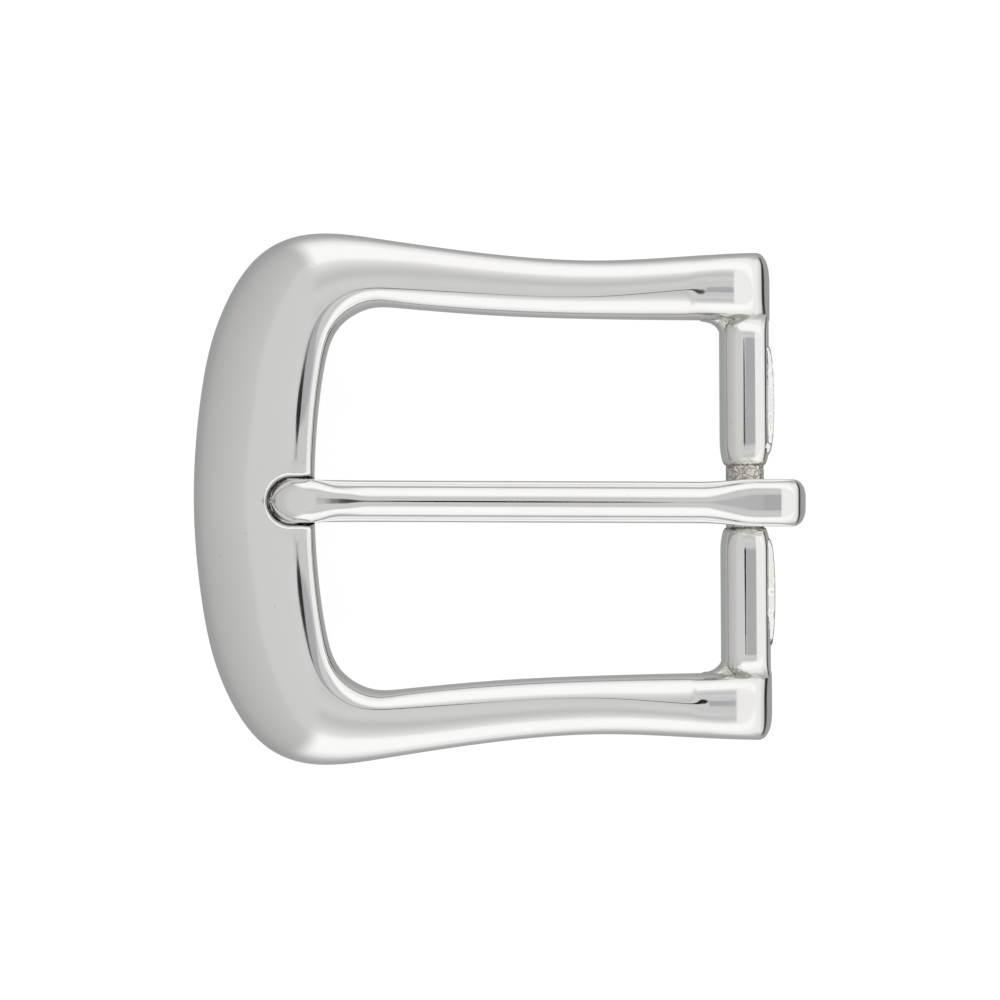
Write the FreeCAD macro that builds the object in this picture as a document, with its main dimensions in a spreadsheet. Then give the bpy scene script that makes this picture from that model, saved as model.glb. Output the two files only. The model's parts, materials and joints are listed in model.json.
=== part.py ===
import FreeCAD, Part
import Sketcher
import math
import os

# Single prong belt buckle for a 35 mm strap: one cast frame with its strap bar,
# and a prong that swings on the neck of that bar.
# Millimetres. Origin on the axis of the strap bar, +X past the bar, +Z out of the front.

doc = FreeCAD.newDocument("buckle")
sheet = doc.addObject("Spreadsheet::Sheet", "dims")

# The rail of the frame is lofted through ten stations per side.
# Each station: inner edge x, y, outer edge x, y, underside at the inner and outer edge,
# height of the inner and outer edge, crest position (share of the width), crest height,
# and how full the slope and the edge are, first outside the crest and then inside it.
stations = [
    ("bow_centre", (-43.05, 0.0, -55.32, 0.0, 0.3, -2.2, 2.3, -0.9, 0.18, 4.5, 0.5, 0.35, 0.85, 0.6)),
    ("bow_flank", (-42.75, 7.2, -54.45, 11.0, 0.3, -2.2, 2.3, -0.9, 0.18, 4.7, 0.5, 0.35, 0.85, 0.6)),
    ("bow_shoulder", (-41.90, 13.5, -52.28, 18.98, 0.2, -2.1, 2.2, -0.7, 0.19, 4.7, 0.52, 0.35, 0.82, 0.6)),
    ("corner", (-40.25, 17.35, -48.02, 24.9, 0.0, -1.9, 2.0, -0.3, 0.20, 4.6, 0.62, 0.42, 0.7, 0.5)),
    ("corner_end", (-38.00, 18.80, -43.75, 26.49, -0.3, -1.5, 1.9, 0.6, 0.22, 4.4, 0.76, 0.5, 0.6, 0.4)),
    ("arm_front", (-34.50, 19.00, -36.68, 26.0, -0.6, -1.0, 1.8, 1.4, 0.26, 4.15, 0.85, 0.6, 0.55, 0.35)),
    ("arm_third", (-26.00, 18.28, -26.60, 24.54, -0.7, -0.8, 1.6, 1.5, 0.32, 3.75, 0.85, 0.6, 0.55, 0.35)),
    ("waist", (-15.00, 17.82, -15.00, 23.69, -1.0, -1.0, 1.2, 1.1, 0.36, 3.35, 0.85, 0.6, 0.55, 0.35)),
    ("arm_flare", (-5.00, 17.65, -5.00, 24.10, -1.9, -1.9, 0.9, 0.9, 0.46, 3.5, 0.85, 0.6, 0.6, 0.35)),
    ("arm_end", (2.75, 17.60, 2.75, 24.50, -2.5, -2.5, 0.9, 0.9, 0.48, 3.6, 0.85, 0.6, 0.6, 0.35)),
]
stationFields = ["inner_x", "inner_y", "outer_x", "outer_y", "under_inner", "under_outer",
                 "lip_inner", "lip_outer", "crest_share", "crest_height",
                 "outer_slope", "outer_edge", "inner_slope", "inner_edge"]

values = {
    # rail sections
    "edge_round_inner": 1.2,
    "edge_round_outer": 1.3,
    # the loft runs on past the arm ends by two short steps, cut off again below
    "tail_step": 1.2,
    # strap bar
    "bar_radius": 2.5,
    "bar_half_length": 18.3,
    "neck_radius": 1.9,
    "neck_half_length": 3.2,
    "shoulder_end": 5.6,
    # arm ends
    "end_face": 2.65,
    "end_fall_start": -4.25,
    "end_fall_top": 3.6,
    "end_fall_radius": 7.5,
    "end_round": 1.4,
    "end_outer": 24.42,
    # corner webs between the bar and the arms
    "web_reach": 4.4,
    "web_drop": 15.6,
    "web_side": 17.62,
    "web_foot": 2.3,
    "web_depth": 3.0,
    # gate pads on the outside of the bar
    "gate_start": 4.2,
    "gate_stop": 15.2,
    "gate_root": 1.9,
    "gate_height": 2.95,
    "gate_swell": 0.3,
    "gate_depth": 2.2,
    # rest notch in the bow
    "notch_width": 5.1,
    "notch_end": -47.8,
    "notch_middle": -0.17,
    "notch_floor": 2.05,
    # prong
    "prong_top": 4.35,
    "prong_thickness": 2.2,
    "prong_width": 4.15,
    "prong_tip": -47.4,
    "tip_length": 3.0,
    "tip_drop": 1.5,
    "tip_curl": 1.6,
    "tip_foot": 0.9,
    "droop_lead": 1.2,
    "eye_radius": 2.15,
    "eye_slack": 1.75,
    "eye_width": 4.72,
    "eye_blend": 3.2,
    "eye_straight": 1.2,
    "eye_corner": 1.2,
    "crown_drop": 0.48,
    "crown_half": 3.0,
    "prong_offset": -0.62,
    "prong_skew": -0.58,
}
for stationName, numbers in stations:
    for field, number in zip(stationFields, numbers):
        values[stationName + "_" + field] = number

for row, (name, number) in enumerate(sorted(values.items()), start=1):
    sheet.set("A%d" % row, name)
    sheet.set("B%d" % row, repr(number))
    sheet.setAlias("B%d" % row, name)
doc.recompute()


def planeOf(body, role):
    return [f for f in body.Origin.OriginFeatures if f.Role == role][0]


def newSketch(body, name, role):
    sketch = body.newObject("Sketcher::SketchObject", name)
    sketch.AttachmentSupport = [(planeOf(body, role), "")]
    sketch.MapMode = "FlatFace"
    return sketch


def point(x, y):
    return FreeCAD.Vector(x, y, 0)


upward = FreeCAD.Vector(0, 0, 1)


def joinEnds(sketch, first, firstEnd, second, secondEnd):
    sketch.addConstraint(Sketcher.Constraint("Coincident", first, firstEnd, second, secondEnd))


def place(sketch, kind, geo, pos, number, expression):
    index = sketch.addConstraint(Sketcher.Constraint(kind, -1, 1, geo, pos, number))
    sketch.setExpression("Constraints[%d]" % index, expression)


def level(sketch, geoA, posA, geoB, posB):
    sketch.addConstraint(Sketcher.Constraint("Horizontal", geoA, posA, geoB, posB))


def plumb(sketch, geoA, posA, geoB, posB):
    sketch.addConstraint(Sketcher.Constraint("Vertical", geoA, posA, geoB, posB))


def splineThrough(poles):
    spline = Part.BSplineCurve()
    degree = len(poles) - 1
    spline.buildFromPolesMultsKnots(poles, [degree + 1, degree + 1], [0, 1], False, degree)
    return spline


def showPoles(sketch, geo, count):
    first = len(sketch.Geometry)
    sketch.exposeInternalGeometry(geo)
    return list(range(first, first + count))


# ---------------------------------------------------------------- frame
frame = doc.addObject("PartDesign::Body", "frame")
frame.Label = "frame"


def railSection(stationName, side, tail=0):
    """One closed section of the rail, standing on the line from inner to outer edge."""
    tag = "dims." + stationName + "_"
    get = {field: values[stationName + "_" + field] for field in stationFields}
    width = math.hypot(get["outer_x"] - get["inner_x"], get["outer_y"] - get["inner_y"])
    widthText = "sqrt(({0}outer_x - {0}inner_x)^2 + ({0}outer_y - {0}inner_y)^2)".format(tag)
    crest = get["crest_share"] * width
    crestText = tag + "crest_share * " + widthText
    suffix = "_upper" if side > 0 else "_lower"
    if side == 0:
        suffix = ""
    sign = -1 if side < 0 else 1
    if tail:
        suffix += "_tail_%d" % tail
    sketch = newSketch(frame, stationName + suffix, "XY_Plane")
    sketch.setExpression("AttachmentOffset", (
        "placement(vector({0}inner_x + {2} * dims.tail_step; {1} * {0}inner_y; 0); "
        "rotation({1} * atan2({0}outer_y - {0}inner_y; {0}outer_x - {0}inner_x); 0; 90))"
    ).format(tag, sign, tail))

    roundIn = values["edge_round_inner"]
    roundOut = values["edge_round_outer"]
    outerPeak = get["outer_slope"]
    innerPeak = get["inner_slope"]
    innerFoot = point(roundIn, get["under_inner"])
    outerFoot = point(width - roundOut, get["under_outer"])
    outerLip = point(width, get["lip_outer"])
    top = point(crest, get["crest_height"])
    innerLip = point(0, get["lip_inner"])
    outerRise = get["lip_outer"] + get["outer_edge"] * (get["crest_height"] - get["lip_outer"])
    innerRise = get["lip_inner"] + get["inner_edge"] * (get["crest_height"] - get["lip_inner"])

    sketch.addGeometry(Part.LineSegment(innerFoot, outerFoot), False)
    sketch.addGeometry(splineThrough([outerFoot, point(width, get["under_outer"]), outerLip]), False)
    sketch.addGeometry(splineThrough([outerLip, point(width, outerRise),
                                      point(crest + outerPeak * (width - crest), get["crest_height"]),
                                      top]), False)
    sketch.addGeometry(splineThrough([top, point(crest * (1 - innerPeak), get["crest_height"]),
                                      point(0, innerRise), innerLip]), False)
    sketch.addGeometry(splineThrough([innerLip, point(0, get["under_inner"]), innerFoot]), False)
    outerRound = showPoles(sketch, 1, 3)
    outerTop = showPoles(sketch, 2, 4)
    innerTop = showPoles(sketch, 3, 4)
    innerRound = showPoles(sketch, 4, 3)
    for first in range(5):
        joinEnds(sketch, first, 2, (first + 1) % 5, 1)

    place(sketch, "DistanceX", 0, 1, roundIn, "dims.edge_round_inner")
    place(sketch, "DistanceY", 0, 1, get["under_inner"], tag + "under_inner")
    place(sketch, "DistanceX", 0, 2, width - roundOut, widthText + " - dims.edge_round_outer")
    place(sketch, "DistanceY", 0, 2, get["under_outer"], tag + "under_outer")
    place(sketch, "DistanceX", 1, 2, width, widthText)
    place(sketch, "DistanceY", 1, 2, get["lip_outer"], tag + "lip_outer")
    place(sketch, "DistanceX", 2, 2, crest, crestText)
    place(sketch, "DistanceY", 2, 2, get["crest_height"], tag + "crest_height")
    sketch.addConstraint(Sketcher.Constraint("PointOnObject", 3, 2, -2))
    place(sketch, "DistanceY", 3, 2, get["lip_inner"], tag + "lip_inner")
    plumb(sketch, outerRound[1], 3, 1, 2)
    level(sketch, outerRound[1], 3, 1, 1)
    plumb(sketch, outerTop[1], 3, 2, 1)
    place(sketch, "DistanceY", outerTop[1], 3, outerRise,
          "{0}lip_outer + {0}outer_edge * ({0}crest_height - {0}lip_outer)".format(tag))
    level(sketch, outerTop[2], 3, 2, 2)
    place(sketch, "DistanceX", outerTop[2], 3, crest + outerPeak * (width - crest),
          "{0} * (1 - {2}outer_slope) + {2}outer_slope * {1}".format(crestText, widthText, tag))
    level(sketch, innerTop[1], 3, 3, 1)
    place(sketch, "DistanceX", innerTop[1], 3, crest * (1 - innerPeak),
          "{0} * (1 - {1}inner_slope)".format(crestText, tag))
    plumb(sketch, innerTop[2], 3, 3, 2)
    place(sketch, "DistanceY", innerTop[2], 3, innerRise,
          "{0}lip_inner + {0}inner_edge * ({0}crest_height - {0}lip_inner)".format(tag))
    plumb(sketch, innerRound[1], 3, 4, 1)
    level(sketch, innerRound[1], 3, 4, 2)
    return sketch


sections = [railSection("arm_end", 1, tail) for tail in (2, 1)]
sections += [railSection(name, 1) for name, numbers in reversed(stations[1:])]
sections.append(railSection("bow_centre", 0))
sections += [railSection(name, -1) for name, numbers in stations[1:]]
sections += [railSection("arm_end", -1, tail) for tail in (1, 2)]
doc.recompute()
rail = frame.newObject("PartDesign::AdditiveLoft", "rail")
rail.Profile = sections[0]
rail.Sections = sections[1:]
rail.Ruled = False
rail.Closed = False
doc.recompute()
frame.Tip = rail


def volumeOf(feature):
    return feature.Shape.Volume


def newFeature(body, kind, name, sketch):
    feature = body.newObject(kind, name)
    feature.Profile = sketch
    return feature


def finishFeature(body, feature, before, removes):
    doc.recompute()
    after = volumeOf(feature)
    changed = before - after if removes else after - before
    if feature.State != ["Up-to-date"] or feature.Shape.isNull() or not feature.Shape.isValid():
        raise RuntimeError("feature %s failed: %s" % (feature.Name, feature.State))
    if changed <= 0:
        raise RuntimeError("feature %s changed nothing" % feature.Name)
    body.Tip = feature
    print("%-16s %9.1f mm3" % (feature.Name, after))
    return after


def lineTo(sketch, a, b):
    return sketch.addGeometry(Part.LineSegment(a, b), False)


def closedLines(sketch, points):
    """Straight-sided closed wire, its corners joined; returns the first line's index."""
    first = len(sketch.Geometry)
    count = len(points)
    for i in range(count):
        lineTo(sketch, points[i], points[(i + 1) % count])
    for i in range(count):
        joinEnds(sketch, first + i, 2, first + (i + 1) % count, 1)
    return first


def joinChain(sketch, chain):
    for first, second in zip(chain, chain[1:]):
        joinEnds(sketch, first, 2, second, 1)


def dimension(sketch, kind, geo, pos, number, name):
    place(sketch, kind, geo, pos, number, "dims." + name)


volume = volumeOf(rail)

# end of both arms, seen from the side: the top falls in an arc to a short upright face
endCut = newSketch(frame, "end_profile", "XZ_Plane")
beyond = 7.0
below = -3.2
above = 5.2
fallX = values["end_fall_start"]
fallR = values["end_fall_radius"]
fallZ = values["end_fall_top"] - fallR
faceX = values["end_face"]
faceAngle = math.acos((faceX - fallX) / fallR)
faceTop = fallZ + fallR * math.sin(faceAngle)
fall = endCut.addGeometry(Part.ArcOfCircle(
    Part.Circle(point(fallX, fallZ), upward, fallR), faceAngle, math.pi / 2), False)
wall = lineTo(endCut, point(fallX, values["end_fall_top"]), point(fallX, above))
lid = lineTo(endCut, point(fallX, above), point(beyond, above))
back = lineTo(endCut, point(beyond, above), point(beyond, below))
floor = lineTo(endCut, point(beyond, below), point(faceX, below))
face = lineTo(endCut, point(faceX, below), point(faceX, faceTop))
joinChain(endCut, [wall, lid, back, floor, face])
joinEnds(endCut, face, 2, fall, 1)
joinEnds(endCut, fall, 2, wall, 1)
index = endCut.addConstraint(Sketcher.Constraint("Radius", fall, fallR))
endCut.setExpression("Constraints[%d]" % index, "dims.end_fall_radius")
dimension(endCut, "DistanceX", fall, 3, fallX, "end_fall_start")
place(endCut, "DistanceY", fall, 3, fallZ, "dims.end_fall_top - dims.end_fall_radius")
plumb(endCut, wall, 1, fall, 3)
dimension(endCut, "DistanceX", fall, 1, faceX, "end_face")
plumb(endCut, face, 1, face, 2)
ends = newFeature(frame, "PartDesign::Pocket", "arm_end_cut", endCut)
ends.Type = 1
ends.Midplane = True
volume = finishFeature(frame, ends, volume, True)

# the two outer corners of the arm ends, rounded in plan
cornerCut = newSketch(frame, "end_corners", "XY_Plane")
radius = values["end_round"]
clear = 2.0
for sign in (1, -1):
    cx = values["end_face"] - radius
    cy = sign * (values["end_outer"] - radius)
    far = sign * (values["end_outer"] + clear)
    start, stop = (0, math.pi / 2) if sign > 0 else (-math.pi / 2, 0)
    arc = cornerCut.addGeometry(Part.ArcOfCircle(
        Part.Circle(point(cx, cy), upward, radius), start, stop), False)
    side = lineTo(cornerCut, point(cx, cy + sign * radius), point(cx, far))
    top = lineTo(cornerCut, point(cx, far), point(beyond, far))
    edge = lineTo(cornerCut, point(beyond, far), point(beyond, cy))
    foot = lineTo(cornerCut, point(beyond, cy), point(cx + radius, cy))
    upEnd, rightEnd = (2, 1) if sign > 0 else (1, 2)
    joinEnds(cornerCut, arc, upEnd, side, 1)
    joinEnds(cornerCut, side, 2, top, 1)
    joinEnds(cornerCut, top, 2, edge, 1)
    joinEnds(cornerCut, edge, 2, foot, 1)
    joinEnds(cornerCut, foot, 2, arc, rightEnd)
    index = cornerCut.addConstraint(Sketcher.Constraint("Radius", arc, radius))
    cornerCut.setExpression("Constraints[%d]" % index, "dims.end_round")
    dimension(cornerCut, "DistanceX", arc, rightEnd, values["end_face"], "end_face")
    place(cornerCut, "DistanceY", arc, 3, cy,
          "%d * (dims.end_outer - dims.end_round)" % sign)
corners = newFeature(frame, "PartDesign::Pocket", "arm_corner_cut", cornerCut)
corners.Type = 1
corners.Midplane = True
volume = finishFeature(frame, corners, volume, True)

# strap bar, turned about its own axis: two halves that round down to a thin neck
barSketch = newSketch(frame, "bar_profile", "XY_Plane")
barR = values["bar_radius"]
neckR = values["neck_radius"]
neckY = values["neck_half_length"]
endY = values["bar_half_length"]
roundY = values["shoulder_end"]
axisLine = lineTo(barSketch, point(0, -endY), point(0, endY))
topLine = lineTo(barSketch, point(0, endY), point(barR, endY))
upper = lineTo(barSketch, point(barR, endY), point(barR, roundY))
upperRound = barSketch.addGeometry(splineThrough(
    [point(barR, roundY), point(barR, neckY), point(neckR, neckY)]), False)
neck = lineTo(barSketch, point(neckR, neckY), point(neckR, -neckY))
lowerRound = barSketch.addGeometry(splineThrough(
    [point(neckR, -neckY), point(barR, -neckY), point(barR, -roundY)]), False)
lower = lineTo(barSketch, point(barR, -roundY), point(barR, -endY))
foot = lineTo(barSketch, point(barR, -endY), point(0, -endY))
chain = [axisLine, topLine, upper, upperRound, neck, lowerRound, lower, foot]
upperPoles = showPoles(barSketch, upperRound, 3)
lowerPoles = showPoles(barSketch, lowerRound, 3)
for i, geo in enumerate(chain):
    joinEnds(barSketch, geo, 2, chain[(i + 1) % len(chain)], 1)
barSketch.addConstraint(Sketcher.Constraint("PointOnObject", axisLine, 1, -2))
barSketch.addConstraint(Sketcher.Constraint("PointOnObject", axisLine, 2, -2))
place(barSketch, "DistanceY", axisLine, 1, -endY, "-dims.bar_half_length")
dimension(barSketch, "DistanceY", axisLine, 2, endY, "bar_half_length")
dimension(barSketch, "DistanceX", upper, 1, barR, "bar_radius")
level(barSketch, upper, 1, axisLine, 2)
dimension(barSketch, "DistanceX", upper, 2, barR, "bar_radius")
dimension(barSketch, "DistanceY", upper, 2, roundY, "shoulder_end")
dimension(barSketch, "DistanceX", neck, 1, neckR, "neck_radius")
dimension(barSketch, "DistanceY", neck, 1, neckY, "neck_half_length")
dimension(barSketch, "DistanceX", neck, 2, neckR, "neck_radius")
place(barSketch, "DistanceY", neck, 2, -neckY, "-dims.neck_half_length")
dimension(barSketch, "DistanceX", lower, 1, barR, "bar_radius")
place(barSketch, "DistanceY", lower, 1, -roundY, "-dims.shoulder_end")
dimension(barSketch, "DistanceX", lower, 2, barR, "bar_radius")
level(barSketch, lower, 2, axisLine, 1)
plumb(barSketch, upperPoles[1], 3, upper, 2)
level(barSketch, upperPoles[1], 3, neck, 1)
plumb(barSketch, lowerPoles[1], 3, lower, 1)
level(barSketch, lowerPoles[1], 3, neck, 2)
bar = newFeature(frame, "PartDesign::Revolution", "strap_bar", barSketch)
bar.ReferenceAxis = (barSketch, ["V_Axis"])
bar.Angle = 360
volume = finishFeature(frame, bar, volume, False)

# hollow-sided webs that tie the bar to the arms in the inner corners
webSketch = newSketch(frame, "web_outline", "XY_Plane")
webHold = 0.6
footX = -values["web_foot"]
reach = -values["web_reach"]
for sign in (1, -1):
    webY = sign * values["web_side"]
    armY = sign * (values["web_side"] + webHold)
    drop = sign * values["web_drop"]
    curve = webSketch.addGeometry(splineThrough(
        [point(footX, drop), point(footX, webY), point(reach, webY)]), False)
    poles = showPoles(webSketch, curve, 3)
    side = lineTo(webSketch, point(reach, webY), point(reach, armY))
    top = lineTo(webSketch, point(reach, armY), point(0, armY))
    inner = lineTo(webSketch, point(0, armY), point(0, drop))
    foot = lineTo(webSketch, point(0, drop), point(footX, drop))
    chain = [curve, side, top, inner, foot]
    for i, geo in enumerate(chain):
        joinEnds(webSketch, geo, 2, chain[(i + 1) % len(chain)], 1)
    place(webSketch, "DistanceX", side, 1, reach, "-dims.web_reach")
    place(webSketch, "DistanceY", side, 1, webY, "%d * dims.web_side" % sign)
    place(webSketch, "DistanceX", side, 2, reach, "-dims.web_reach")
    place(webSketch, "DistanceY", foot, 2, drop, "%d * dims.web_drop" % sign)
    place(webSketch, "DistanceX", foot, 2, footX, "-dims.web_foot")
    plumb(webSketch, poles[1], 3, foot, 2)
    level(webSketch, poles[1], 3, side, 1)
webs = newFeature(frame, "PartDesign::Pad", "corner_webs", webSketch)
webs.Midplane = True
webs.setExpression("Length", "dims.web_depth")
volume = finishFeature(frame, webs, volume, False)

# low pads left on the outside of the bar where the castings were cut from their runner
gateSketch = newSketch(frame, "gate_outline", "XY_Plane")
root = values["gate_root"]
high = values["gate_height"]
swell = values["gate_swell"]
gateLead = 2.2
for sign in (1, -1):
    near = sign * values["gate_start"]
    far = sign * values["gate_stop"]
    curve = gateSketch.addGeometry(splineThrough([
        point(root, near), point(high, near + sign * gateLead),
        point(high + swell, (near + far) / 2), point(high, far - sign * gateLead),
        point(root, far)]), False)
    poles = showPoles(gateSketch, curve, 5)
    back = lineTo(gateSketch, point(root, far), point(root, near))
    joinEnds(gateSketch, curve, 2, back, 1)
    joinEnds(gateSketch, back, 2, curve, 1)
    place(gateSketch, "DistanceY", back, 2, near, "%d * dims.gate_start" % sign)
    place(gateSketch, "DistanceY", back, 1, far, "%d * dims.gate_stop" % sign)
    place(gateSketch, "DistanceX", back, 1, root, "dims.gate_root")
    place(gateSketch, "DistanceX", back, 2, root, "dims.gate_root")
    place(gateSketch, "DistanceX", poles[1], 3, high, "dims.gate_height")
    place(gateSketch, "DistanceX", poles[2], 3, high + swell, "dims.gate_height + dims.gate_swell")
    place(gateSketch, "DistanceX", poles[3], 3, high, "dims.gate_height")
gates = newFeature(frame, "PartDesign::Pad", "gate_pads", gateSketch)
gates.Midplane = True
gates.setExpression("Length", "dims.gate_depth")
volume = finishFeature(frame, gates, volume, False)

# rest notch for the prong tip, sunk in the bow and open on its inner edge
notchSketch = newSketch(frame, "notch_outline", "XY_Plane")
notchSketch.setExpression("AttachmentOffset", (
    "placement(vector(0; 0; dims.notch_floor); rotation(0; 0; 0))"))
half = values["notch_width"] / 2
notchEnd = values["notch_end"]
notchY = values["notch_middle"]
mouth = -40.0
notchRise = 6
endArc = notchSketch.addGeometry(Part.ArcOfCircle(
    Part.Circle(point(notchEnd + half, notchY), upward, half),
    math.pi / 2, 3 * math.pi / 2), False)
lowLine = lineTo(notchSketch, point(notchEnd + half, notchY - half), point(mouth, notchY - half))
mouthLine = lineTo(notchSketch, point(mouth, notchY - half), point(mouth, notchY + half))
highLine = lineTo(notchSketch, point(mouth, notchY + half), point(notchEnd + half, notchY + half))
joinChain(notchSketch, [endArc, lowLine, mouthLine, highLine, endArc])
index = notchSketch.addConstraint(Sketcher.Constraint("Radius", endArc, half))
notchSketch.setExpression("Constraints[%d]" % index, "dims.notch_width / 2")
place(notchSketch, "DistanceY", endArc, 3, notchY, "dims.notch_middle")
place(notchSketch, "DistanceX", endArc, 3, notchEnd + half, "dims.notch_end + dims.notch_width / 2")
plumb(notchSketch, endArc, 1, endArc, 3)
plumb(notchSketch, endArc, 2, endArc, 3)
level(notchSketch, lowLine, 1, lowLine, 2)
level(notchSketch, highLine, 1, highLine, 2)
notch = newFeature(frame, "PartDesign::Pocket", "rest_notch", notchSketch)
notch.Length = notchRise
notch.Reversed = True
volume = finishFeature(frame, notch, volume, True)

# ---------------------------------------------------------------- prong
prong = doc.addObject("PartDesign::Body", "prong")
prong.Label = "prong"

# side view: shank, drooping tip, and the oval eye closed round the neck
top = values["prong_top"]
under = top - values["prong_thickness"]
underText = "dims.prong_top - dims.prong_thickness"
slack = values["eye_slack"]
eyeR = values["eye_radius"]
tip = values["prong_tip"]
bend = tip + values["tip_length"] + values["droop_lead"]
curl = tip + values["tip_curl"]
tipFoot = tip + values["tip_foot"]
tipTop = top - values["tip_drop"]
fallShare = 0.75
curlTop = top - fallShare * values["tip_drop"]
joint = -math.sqrt(top ** 2 - under ** 2)
side = newSketch(prong, "prong_side", "XZ_Plane")
topEdge = lineTo(side, point(slack, top), point(bend, top))
droop = side.addGeometry(splineThrough([
    point(bend, top), point(curl, top), point(tip, curlTop), point(tip, tipTop)]), False)
nose = side.addGeometry(splineThrough([
    point(tip, tipTop), point(tip, under), point(tipFoot, under)]), False)
underEdge = lineTo(side, point(tipFoot, under), point(joint, under))
startAngle = math.atan2(under, joint)
backArc = side.addGeometry(Part.ArcOfCircle(
    Part.Circle(point(0, 0), upward, top), startAngle, 1.5 * math.pi), False)
footLine = lineTo(side, point(0, -top), point(slack, -top))
frontArc = side.addGeometry(Part.ArcOfCircle(
    Part.Circle(point(slack, 0), upward, top), -math.pi / 2, math.pi / 2), False)
droopPoles = showPoles(side, droop, 4)
nosePoles = showPoles(side, nose, 3)
chain = [topEdge, droop, nose, underEdge, backArc, footLine, frontArc]
for i, geo in enumerate(chain):
    joinEnds(side, geo, 2, chain[(i + 1) % len(chain)], 1)
dimension(side, "DistanceY", topEdge, 1, top, "prong_top")
side.addConstraint(Sketcher.Constraint("Horizontal", topEdge))
dimension(side, "DistanceX", topEdge, 1, slack, "eye_slack")
place(side, "DistanceX", topEdge, 2, bend, "dims.prong_tip + dims.tip_length + dims.droop_lead")
dimension(side, "DistanceX", nose, 1, tip, "prong_tip")
place(side, "DistanceY", nose, 1, tipTop, "dims.prong_top - dims.tip_drop")
place(side, "DistanceX", nose, 2, tipFoot, "dims.prong_tip + dims.tip_foot")
place(side, "DistanceY", nose, 2, under, underText)
side.addConstraint(Sketcher.Constraint("Horizontal", underEdge))
level(side, droopPoles[1], 3, topEdge, 2)
place(side, "DistanceX", droopPoles[1], 3, curl, "dims.prong_tip + dims.tip_curl")
plumb(side, droopPoles[2], 3, nose, 1)
place(side, "DistanceY", droopPoles[2], 3, curlTop,
      "dims.prong_top - %.2f * dims.tip_drop" % fallShare)
plumb(side, nosePoles[1], 3, nose, 1)
level(side, nosePoles[1], 3, nose, 2)
side.addConstraint(Sketcher.Constraint("Coincident", backArc, 3, -1, 1))
place(side, "DistanceY", footLine, 1, -top, "-dims.prong_top")
side.addConstraint(Sketcher.Constraint("PointOnObject", footLine, 1, -2))
side.addConstraint(Sketcher.Constraint("PointOnObject", frontArc, 3, -1))
plumb(side, footLine, 2, frontArc, 3)
dimension(side, "DistanceX", frontArc, 3, slack, "eye_slack")

eyeBack = side.addGeometry(Part.ArcOfCircle(
    Part.Circle(point(0, 0), upward, eyeR), math.pi / 2, 1.5 * math.pi), False)
eyeFoot = lineTo(side, point(0, -eyeR), point(slack, -eyeR))
eyeFront = side.addGeometry(Part.ArcOfCircle(
    Part.Circle(point(slack, 0), upward, eyeR), -math.pi / 2, math.pi / 2), False)
eyeTop = lineTo(side, point(slack, eyeR), point(0, eyeR))
chain = [eyeBack, eyeFoot, eyeFront, eyeTop]
for i, geo in enumerate(chain):
    joinEnds(side, geo, 2, chain[(i + 1) % len(chain)], 1)
side.addConstraint(Sketcher.Constraint("Coincident", eyeBack, 3, -1, 1))
side.addConstraint(Sketcher.Constraint("Coincident", eyeFront, 3, frontArc, 3))
for arc in (eyeBack, eyeFront):
    index = side.addConstraint(Sketcher.Constraint("Radius", arc, eyeR))
    side.setExpression("Constraints[%d]" % index, "dims.eye_radius")
    plumb(side, arc, 1, arc, 3)
    plumb(side, arc, 2, arc, 3)
strip = newFeature(prong, "PartDesign::Pad", "prong_strip", side)
strip.Midplane = True
strip.setExpression("Length", "dims.eye_width")
prongVolume = finishFeature(prong, strip, 0.0, False)

# plan view: everything outside this outline is taken off the strip
plan = newSketch(prong, "prong_plan", "XY_Plane")
halfShank = values["prong_width"] / 2
halfEye = values["eye_width"] / 2
eyeEnd = slack + top
corner = values["eye_corner"]
tipCentre = tip + values["tip_length"]
blendStart = -values["eye_blend"]
straight = values["eye_straight"]
blendLead = 2.0
roomX = 4.0
roomY = 8.0
plan.addGeometry(Part.ArcOfEllipse(
    Part.Ellipse(point(tip, 0), point(tipCentre, halfShank), point(tipCentre, 0)),
    -math.pi / 2, math.pi / 2), False)
lowSide = lineTo(plan, point(tipCentre, -halfShank), point(blendStart, -halfShank))
plan.addGeometry(splineThrough([
    point(blendStart, -halfShank), point(blendStart + blendLead, -halfShank),
    point(straight - blendLead, -halfEye), point(straight, -halfEye)]), False)
lowEye = lineTo(plan, point(straight, -halfEye), point(eyeEnd - corner, -halfEye))
plan.addGeometry(Part.ArcOfCircle(Part.Circle(
    point(eyeEnd - corner, corner - halfEye), upward, corner),
    -math.pi / 2, 0), False)
lineTo(plan, point(eyeEnd, corner - halfEye), point(eyeEnd, halfEye - corner))
plan.addGeometry(Part.ArcOfCircle(Part.Circle(
    point(eyeEnd - corner, halfEye - corner), upward, corner),
    0, math.pi / 2), False)
highEye = lineTo(plan, point(eyeEnd - corner, halfEye), point(straight, halfEye))
plan.addGeometry(splineThrough([
    point(straight, halfEye), point(straight - blendLead, halfEye),
    point(blendStart + blendLead, halfShank), point(blendStart, halfShank)]), False)
highSide = lineTo(plan, point(blendStart, halfShank), point(tipCentre, halfShank))
closedLines(plan, [point(tip - roomX, -roomY), point(eyeEnd + roomX, -roomY),
                   point(eyeEnd + roomX, roomY), point(tip - roomX, roomY)])
place(plan, "DistanceY", lowSide, 1, -halfShank, "-dims.prong_width / 2")
place(plan, "DistanceY", lowSide, 2, -halfShank, "-dims.prong_width / 2")
place(plan, "DistanceY", highSide, 1, halfShank, "dims.prong_width / 2")
place(plan, "DistanceY", highSide, 2, halfShank, "dims.prong_width / 2")
place(plan, "DistanceY", lowEye, 1, -halfEye, "-dims.eye_width / 2")
place(plan, "DistanceY", highEye, 2, halfEye, "dims.eye_width / 2")
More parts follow.
